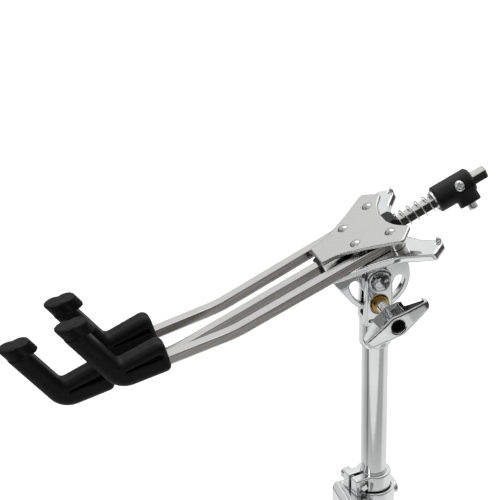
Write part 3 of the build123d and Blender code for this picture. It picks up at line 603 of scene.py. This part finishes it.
mouldings = {
    "adjust_knob": dict(voxel=0.00025, rounds=2),
    "wing_nut": dict(voxel=0.00026, rounds=42),
    "yoke": dict(voxel=0.0004, rounds=12),
    "memory_lock": dict(voxel=0.0003, rounds=9),
    "base_clamp": dict(voxel=0.0004, rounds=9),
    "hub_top_plate": dict(voxel=0.0004, rounds=4),
    "hub_lower_plate": dict(voxel=0.00048, rounds=8),
    "quadrant": dict(voxel=0.00035, rounds=5),
}
for screw in ("clamp_wing_bolt", "collar_wing_screw"):
    mouldings[screw] = dict(voxel=0.00026, rounds=10)
for claw in ("claw_front", "claw_rear", "claw_centre"):
    mouldings[claw] = dict(voxel=0.00045, rounds=6)
for foot in ("foot_1", "foot_2", "foot_3"):
    mouldings[foot] = dict(voxel=0.0007, rounds=6)

hollowSet = dict(turn=30.0, inner=0.0078, outer=0.0202, side=0.0006, ends=0.0016)


def markHollows(mesh, s):
    # a value on each point: 1 inside either wing's scoop, 0 elsewhere; it masks the painted shade in the
    # scoops
    spots = pointsOf(mesh) - np.array(boltPlace)
    turn = math.radians(s["turn"])
    reach = spots @ np.array((math.cos(turn), 0.0, math.sin(turn)))
    height = spots @ np.array((-math.sin(turn), 0.0, math.cos(turn))) * np.sign(reach)
    deep = spots @ np.array(aside)
    inside = (np.abs(reach) > s["inner"]) & (np.abs(reach) < s["outer"]) & (height > s["side"])
    inside &= (deep > deep.min() + s["ends"]) & (deep < deep.max() - s["ends"])
    mesh.attributes.new("hollow", "FLOAT", "POINT").data.foreach_set("value", inside.astype(np.float32))


hubBody = frame["nodes"]["hub_top_plate"]["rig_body"]
hubTurn = Matrix((along, -aside, above)).to_4x4()   # turns the hub's own directions onto X, Y and Z


def mouldNode(name, s):
    # remeshed and smoothed, so that every edge has a moulding's small round; hub pieces lie flat meanwhile
    mesh = mergedCopy(name, copySet)
    onHub = frame["nodes"][name]["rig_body"] == hubBody
    if onHub:
        mesh.transform(hubTurn)
    mesh = bakeModifiers(mesh, [
        ("REMESH", dict(mode="VOXEL", voxel_size=s["voxel"], use_smooth_shade=True)),
        ("SMOOTH", dict(factor=0.5, iterations=s["rounds"])),
    ])
    if onHub:
        mesh.transform(hubTurn.transposed())
    mesh.shade_smooth()
    if name == "wing_nut":
        markHollows(mesh, hollowSet)
    standIn(name + "_moulded", mesh, name)


madeAnew = ("adjust_spring", "knob_screw")     # further down
for nodeName in sorted(frame["nodes"]):
    if nodeName in mouldings:
        mouldNode(nodeName, mouldings[nodeName])
    elif nodeName not in madeAnew:
        polishNode(nodeName, polishSet)
print("metal polished, rubber moulded")

gridSet = dict(sharpAngle=50.0)


def gridMesh(name, points, s):
    # points: rows along the piece by columns round it, with a cap on the first row and on the last
    rows, columns = points.shape[:2]
    index = np.arange(rows * columns).reshape(rows, columns)
    after = np.roll(index, -1, axis=1)
    quads = np.stack([index[:-1], after[:-1], after[1:], index[1:]], axis=-1).reshape(-1, 4)
    caps = [index[0, ::-1].tolist(), index[-1].tolist()]
    mesh = bpy.data.meshes.new(name)
    mesh.from_pydata(points.reshape(-1, 3).tolist(), [], quads.tolist() + caps)
    form = bmesh.new()
    form.from_mesh(mesh)
    bmesh.ops.recalc_face_normals(form, faces=form.faces)
    form.to_mesh(mesh)
    form.free()
    mesh.shade_smooth()
    mesh.set_sharp_from_angle(angle=math.radians(s["sharpAngle"]))
    return mesh


def anglesRound(sides):
    return np.linspace(0, 2 * np.pi, sides, endpoint=False)


def spanOf(name, origin, axis):
    # lowest and highest distance of a node's points along an axis
    far = (pointsOf(frame["nodes"][name].data) - np.array(origin)) @ np.array(axis)
    return far.min(), far.max()


springSet = dict(
    wire=0.00095, meanRadius=0.0052, turns=5.1, closedTurn=0.75, closedSlope=0.12, phase=-40.0,
    rings=420, sides=14, keep=0.24,
)


def makeSpring(s):
    # wire swept along a helix about the rod, whose pitch opens with a smooth step after the first closed
    # part turn and closes again before the last
    low, high = spanOf("adjust_spring", knobPlace, along)
    turn = np.linspace(0, s["turns"], s["rings"])
    opened = np.clip(np.minimum(turn, s["turns"] - turn) / s["closedTurn"], 0, 1)
    slope = s["closedSlope"] + (1 - s["closedSlope"]) * opened * opened * (3 - 2 * opened)
    climb = np.concatenate([[0], np.cumsum((slope[1:] + slope[:-1]) / 2)])
    rise = low + s["wire"] / 2 + (high - low - s["wire"]) * climb / climb[-1]
    angle = (2 * np.pi * turn + math.radians(s["phase"]))[:, None]
    fromRod = np.cos(angle) * np.array(above) + np.sin(angle) * np.array(aside)
    line = np.array(knobPlace) + rise[:, None] * np.array(along) + s["meanRadius"] * fromRod
    ahead = np.gradient(line, axis=0)
    ahead /= np.linalg.norm(ahead, axis=1)[:, None]
    across = np.cross(ahead, fromRod)
    around = anglesRound(s["sides"])[None, :, None]
    ring = np.cos(around) * fromRod[:, None] + np.sin(around) * across[:, None]
    mesh = gridMesh("springForm", line[:, None] + s["wire"] / 2 * ring, gridSet)
    spring = standIn("adjustSpringCoil", mesh, "adjust_spring")
    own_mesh(spring)


makeSpring(springSet)


def roundBolt(name, far, radius, sides):
    # rows round the clamp bolt's axis: far out along it, with one radius for the row or one for each side
    around = anglesRound(sides)
    ring = np.stack([-np.cos(around), np.zeros(sides), -np.sin(around)], axis=-1)
    points = np.array(boltPlace) + far[:, None, None] * np.array(aside) + radius[..., None] * ring
    return gridMesh(name, points, gridSet)


threadSet = dict(
    radius=0.00298, depth=0.00042, pitch=0.001, fadePitches=0.6, intoBushing=0.0002, intoNut=0.0006,
    sides=40, rowsPerTurn=14,
)


def makeThread(s):
    # from the brass bushing to the wing nut: radius plus a rounded ridge that climbs one pitch a turn,
    # faded at both ends
    low = spanOf("brass_bushing", boltPlace, aside)[1] - s["intoBushing"]
    high = spanOf("wing_nut", boltPlace, aside)[0] + s["intoNut"]
    far = np.linspace(low, high, int((high - low) / s["pitch"] * s["rowsPerTurn"]) + 1)
    ridge = 0.5 - 0.5 * np.cos(2 * np.pi * far[:, None] / s["pitch"] - anglesRound(s["sides"]))
    fade = np.clip(np.minimum(far - low, high - far) / (s["fadePitches"] * s["pitch"]), 0, 1)
    radius = s["radius"] + s["depth"] * ridge * fade[:, None]
    addPiece("clampBoltThread", roundBolt("clampBoltThreadForm", far, radius, s["sides"]), "clamp_bolt")


makeThread(threadSet)

# a black cup put in the wing nut's bore as painted shade
boreShadeSet = dict(
    setBack=0.0009, depth=0.0052, radius=0.00425, wall=0.0007, lipDepth=0.0003, lipRound=0.0001,
    floorEdge=0.0012, floorMiddle=0.0009, middleRadius=0.0002, sides=48,
)


def makeBoreShade(s):
    # painted shade: a black cup in the wing nut's bore, standing in for the shade deep inside it, turned
    # from: outer wall, rounded lip, inner wall, dished floor
    front = spanOf("wing_nut", boltPlace, aside)[1] - s["setBack"]
    back, outer, inner = front - s["depth"], s["radius"], s["radius"] - s["wall"]
    outline = np.array([
        (back, outer), (front - s["lipDepth"], outer), (front - s["lipRound"], outer - s["lipRound"]),
        (front, outer - s["wall"] / 2), (front - s["lipRound"], inner + s["lipRound"]),
        (front - s["lipDepth"], inner), (back + s["floorEdge"], inner),
        (back + s["floorMiddle"], s["middleRadius"]),
    ])
    mesh = roundBolt("wingNutLiningForm", outline[:, 0], outline[:, 1:], s["sides"])
    addPiece("wingNutBoreShade", mesh, "wing_nut", "black_nylon")


makeBoreShade(boreShadeSet)

headSet = dict(
    fall=0.001224, slotReach=0.62, slotTaper=0.35, slotFloor=0.000336, slotMouth=0.000672, slotDepth=0.0011,
    middle=0.004, phase=0.5, rows=30, sides=96,
)


def makeScrewHead(s):
    # pan head: height falls off with the fourth power of the radius, and a cross of two soft slots is sunk
    # into its middle
    centre = Vector(pointsOf(frame["nodes"]["knob_screw"].data).mean(axis=0))
    away = centre - knobPlace
    away = (away - along * away.dot(along)).normalized()
    low, high = spanOf("knob_screw", knobPlace, away)
    left, right = spanOf("knob_screw", knobPlace, along)
    radius = (right - left) / 2
    # the first two rows climb the rim, the others close in on the middle
    share = np.concatenate([[1.0, 1.0], np.linspace(1.0, s["middle"], s["rows"])])[:, None]
    around = anglesRound(s["sides"])[None, :] + s["phase"]
    x, y = share * radius * np.cos(around), share * radius * np.sin(around)
    reach = s["slotReach"] * radius
    sink = np.zeros_like(x)
    for across, lengthways in ((x, y), (y, x)):
        wall = np.clip((s["slotMouth"] - np.abs(across)) / (s["slotMouth"] - s["slotFloor"]), 0, 1)
        end = np.clip((reach - np.abs(lengthways)) / (reach * s["slotTaper"]), 0, 1)
        sink = np.maximum(sink, wall * end)
    height = high - s["fall"] * share ** 4 - s["slotDepth"] * sink
    height[0], height[1] = low, (low + height[2]) / 2
    foot = centre - away * (centre - knobPlace).dot(away)
    sideways = np.cross(np.array(away), np.array(along))
    flat = np.array(foot) + x[..., None] * np.array(along) + y[..., None] * sideways
    mesh = gridMesh("knobScrewHeadForm", flat + height[..., None] * np.array(away), gridSet)
    standIn("knobScrewHead", mesh, "knob_screw")


makeScrewHead(headSet)
print("spring, thread and small parts made")
